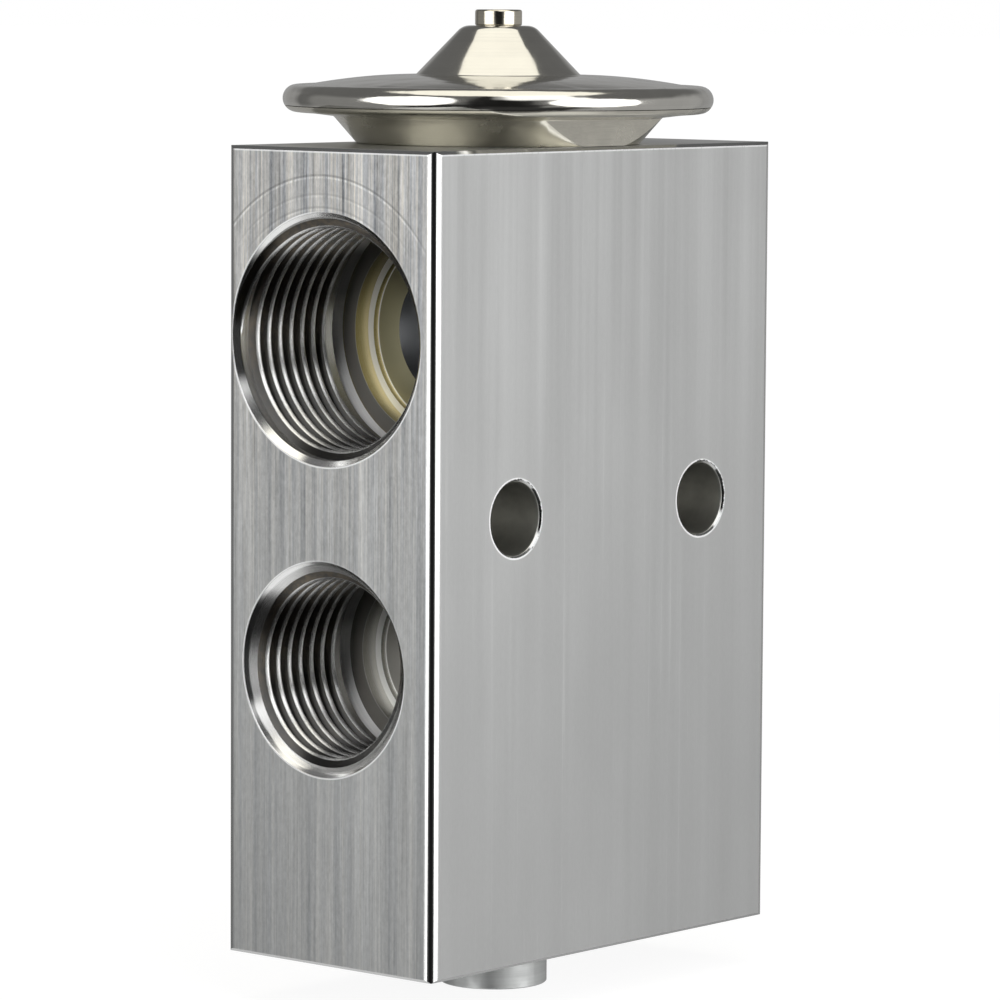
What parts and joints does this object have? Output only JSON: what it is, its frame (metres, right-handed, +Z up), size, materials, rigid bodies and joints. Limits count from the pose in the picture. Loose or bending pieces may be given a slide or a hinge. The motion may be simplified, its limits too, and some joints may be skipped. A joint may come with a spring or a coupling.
{
  "type": "block expansion valve",
  "caption": "Block-type thermostatic expansion valve with threaded line ports, side bolt holes, a domed sensing head and an adjusting nut below.",
  "frame": {"origin": "centre of the footprint, at the level of the adjusting nut's end face", "axes": "+Z up along the valve axis towards the head; -Y out of the suction and outlet ports; +X out of the plain side with the bolt holes"},
  "size_m": [0.0404, 0.049, 0.0921],
  "materials": {
    "block_aluminium": "brushed, machined",
    "head_steel": "bright, slightly yellowed",
    "cover_nickel": "bright plated",
    "diaphragm_steel": "thin rolled",
    "tube_steel": "cut and closed",
    "plug_steel": "dull",
    "disc_steel": "turned",
    "seal_rubber": "matt",
    "rod_aluminium": "turned",
    "pin_steel": "ground",
    "washer_plastic": "smooth",
    "retainer_steel": "stamped",
    "seat_brass": "turned",
    "ball_steel": "polished",
    "carrier_brass": "turned",
    "spring_steel": "drawn wire",
    "nut_aluminium": "turned"
  },
  "bodies": {
    "root": {"valve_block": "block_aluminium", "head_housing": "head_steel", "head_cover": "cover_nickel", "diaphragm": "diaphragm_steel", "charge_tube": "tube_steel", "charge_plug": "plug_steel", "head_seal": "seal_rubber", "rod_o_ring": "seal_rubber", "seal_washer": "washer_plastic", "seal_retainer": "retainer_steel", "seat_ring": "seat_brass"},
    "valve_train": {"thrust_disc": "disc_steel", "sensing_rod": "rod_aluminium", "push_pin": "pin_steel", "valve_ball": "ball_steel", "ball_carrier": "carrier_brass", "damper_spring": "retainer_steel"},
    "spring_carriage": {"spring_seat": "disc_steel", "superheat_spring": "spring_steel"},
    "adjuster": {"adjusting_nut": "nut_aluminium", "adjuster_o_ring": "seal_rubber"}
  },
  "joints": [
    {"name": "valve_lift", "type": "slide", "parent": "root", "child": "valve_train", "axis": [0, 0, -1], "range_m": [0, 0.0006], "stiffness_N_per_m": 3000, "springref_m": -0.004, "deforming": ["superheat_spring"]},
    {"name": "adjuster_advance", "type": "slide", "parent": "root", "child": "spring_carriage", "axis": [0, 0, 1], "range_m": [-0.00075, 0.00075], "deforming": ["superheat_spring"]},
    {"name": "adjuster_turn", "type": "hinge", "parent": "spring_carriage", "child": "adjuster", "pos_m": [0, -0.00055, 0], "axis": [0, 0, 1], "range_deg": [-270, 270]}
  ],
  "couplings": [
    {"joint": "adjuster_turn", "follows": "adjuster_advance", "rad_per_m": 6283.2}
  ]
}
